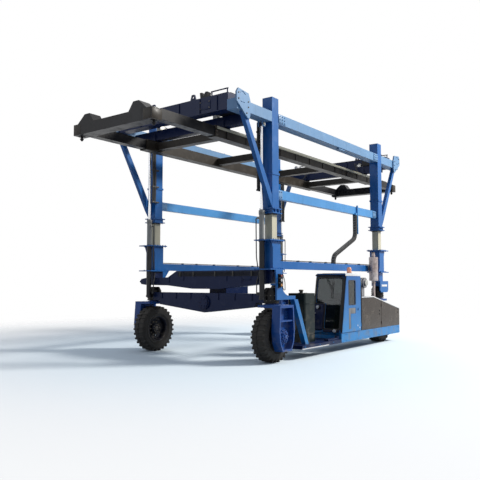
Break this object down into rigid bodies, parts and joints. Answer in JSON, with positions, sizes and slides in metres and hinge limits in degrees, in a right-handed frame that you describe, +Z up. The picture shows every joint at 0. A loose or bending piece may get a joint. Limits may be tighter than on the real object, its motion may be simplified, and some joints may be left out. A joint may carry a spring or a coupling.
{
  "type": "straddle carrier",
  "caption": "Straddle carrier on steered wheels with telescopic masts, a side cab, an engine bay and a container spreader.",
  "frame": {"origin": "on the ground at the middle of the machine's plan box", "axes": "+X forward, +Y to the cab side, +Z up"},
  "size_m": [12.3, 4.64, 6.12],
  "materials": {
    "paint_blue": "gloss",
    "paint_dark_blue": "gloss",
    "paint_light_blue": "gloss",
    "fork_blue": "gloss",
    "rim_paint": "satin",
    "tyre": "matte",
    "cream_steel": "satin",
    "chrome_rod": "polished",
    "black_paint": "satin",
    "chain_black": "matte",
    "tank_green": "satin",
    "glazing": "clear",
    "seat_black": "matte",
    "console_grey": "matte",
    "door_brown": "gloss",
    "engine_grey": "satin",
    "exhaust_grey": "satin",
    "filter_silver": "satin",
    "beacon_amber": "gloss",
    "lamp_red": "gloss"
  },
  "bodies": {
    "chassis": {"front_crossbeam": "paint_dark_blue", "axle_beam": "paint_dark_blue", "pivot_housing": "paint_dark_blue", "steering_heads": "black_paint", "mast_feet": "paint_blue", "lower_sleeves": "paint_blue", "inner_masts": "cream_steel", "lift_barrels": "black_paint", "tie_beams": "paint_blue", "side_base": "paint_blue", "front_platform": "paint_dark_blue", "front_strut": "paint_blue", "hydraulic_tank": "tank_green", "cab_shell": "paint_blue", "cab_windows": "glazing", "seat": "seat_black", "steering_console": "console_grey", "engine_bay": "paint_dark_blue", "engine_block": "engine_grey", "exhaust": "exhaust_grey", "air_filter": "filter_silver", "beacon": "beacon_amber", "lamp_stack": "lamp_red"},
    "cab_door": {"cab_door": "paint_blue", "cab_door_glass": "glazing"},
    "engine_door_front": {"engine_door_front": "door_brown"},
    "engine_door_rear": {"engine_door_rear": "door_brown"},
    "upper_frame": {"upper_masts": "paint_blue", "top_beams": "paint_light_blue", "end_plates": "paint_light_blue", "diagonal_struts": "paint_blue", "mid_braces": "paint_light_blue", "transverse_beams": "paint_dark_blue", "machinery_boxes": "black_paint", "lift_rods": "chrome_rod", "handrails": "paint_dark_blue", "spreader_frame": "black_paint", "spreader_hangers": "paint_dark_blue", "drag_chain": "chain_black"},
    "spreader_arm_front": {"spreader_arm_front": "black_paint"},
    "spreader_arm_rear": {"spreader_arm_rear": "black_paint"},
    "fork_front_near": {"fork_front_near": "fork_blue"},
    "wheel_front_near": {"rim_front_near": "rim_paint", "tyre_front_near": "tyre"},
    "fork_front_far": {"fork_front_far": "fork_blue"},
    "wheel_front_far": {"rim_front_far": "rim_paint", "tyre_front_far": "tyre"},
    "fork_rear_near": {"fork_rear_near": "fork_blue"},
    "wheel_rear_near": {"rim_rear_near": "rim_paint", "tyre_rear_near": "tyre"},
    "fork_rear_far": {"fork_rear_far": "fork_blue"},
    "wheel_rear_far": {"rim_rear_far": "rim_paint", "tyre_rear_far": "tyre"}
  },
  "joints": [
    {"name": "mast_lift", "type": "slide", "parent": "chassis", "child": "upper_frame", "axis": [0, 0, 1], "range_m": [-0.55, 1.2], "deforming": ["drag_chain"]},
    {"name": "arm_front_slide", "type": "slide", "parent": "upper_frame", "child": "spreader_arm_front", "axis": [1, 0, 0], "range_m": [-1.4, 0]},
    {"name": "arm_rear_slide", "type": "slide", "parent": "upper_frame", "child": "spreader_arm_rear", "axis": [1, 0, 0], "range_m": [0, 1.4]},
    {"name": "cab_door_hinge", "type": "hinge", "parent": "chassis", "child": "cab_door", "pos_m": [-0.862, 2.304, 1.2], "axis": [0, 0, 1], "range_deg": [0, 90]},
    {"name": "engine_door_front_hinge", "type": "hinge", "parent": "chassis", "child": "engine_door_front", "pos_m": [-0.918, 2.3, 0.9], "axis": [0, 0, -1], "range_deg": [0, 90]},
    {"name": "engine_door_rear_hinge", "type": "hinge", "parent": "chassis", "child": "engine_door_rear", "pos_m": [-2.264, 2.3, 0.9], "axis": [0, 0, -1], "range_deg": [0, 90]},
    {"name": "steer_front_near", "type": "hinge", "parent": "chassis", "child": "fork_front_near", "pos_m": [2.935, 1.885, 0.59], "axis": [0, 0, 1], "range_deg": [-45, 45]},
    {"name": "spin_front_near", "type": "hinge", "parent": "fork_front_near", "child": "wheel_front_near", "pos_m": [2.935, 1.885, 0.59], "axis": [0, 1, 0], "continuous": true},
    {"name": "steer_front_far", "type": "hinge", "parent": "chassis", "child": "fork_front_far", "pos_m": [2.935, -1.885, 0.59], "axis": [0, 0, 1], "range_deg": [-45, 45]},
    {"name": "spin_front_far", "type": "hinge", "parent": "fork_front_far", "child": "wheel_front_far", "pos_m": [2.935, -1.885, 0.59], "axis": [0, 1, 0], "continuous": true},
    {"name": "steer_rear_near", "type": "hinge", "parent": "chassis", "child": "fork_rear_near", "pos_m": [-2.935, 1.885, 0.59], "axis": [0, 0, 1], "range_deg": [-12, 12]},
    {"name": "spin_rear_near", "type": "hinge", "parent": "fork_rear_near", "child": "wheel_rear_near", "pos_m": [-2.935, 1.885, 0.59], "axis": [0, 1, 0], "continuous": true},
    {"name": "steer_rear_far", "type": "hinge", "parent": "chassis", "child": "fork_rear_far", "pos_m": [-2.935, -1.885, 0.59], "axis": [0, 0, 1], "range_deg": [-12, 12]},
    {"name": "spin_rear_far", "type": "hinge", "parent": "fork_rear_far", "child": "wheel_rear_far", "pos_m": [-2.935, -1.885, 0.59], "axis": [0, 1, 0], "continuous": true}
  ],
  "couplings": [
    {"joint": "arm_rear_slide", "follows": "arm_front_slide", "ratio": -1}
  ]
}
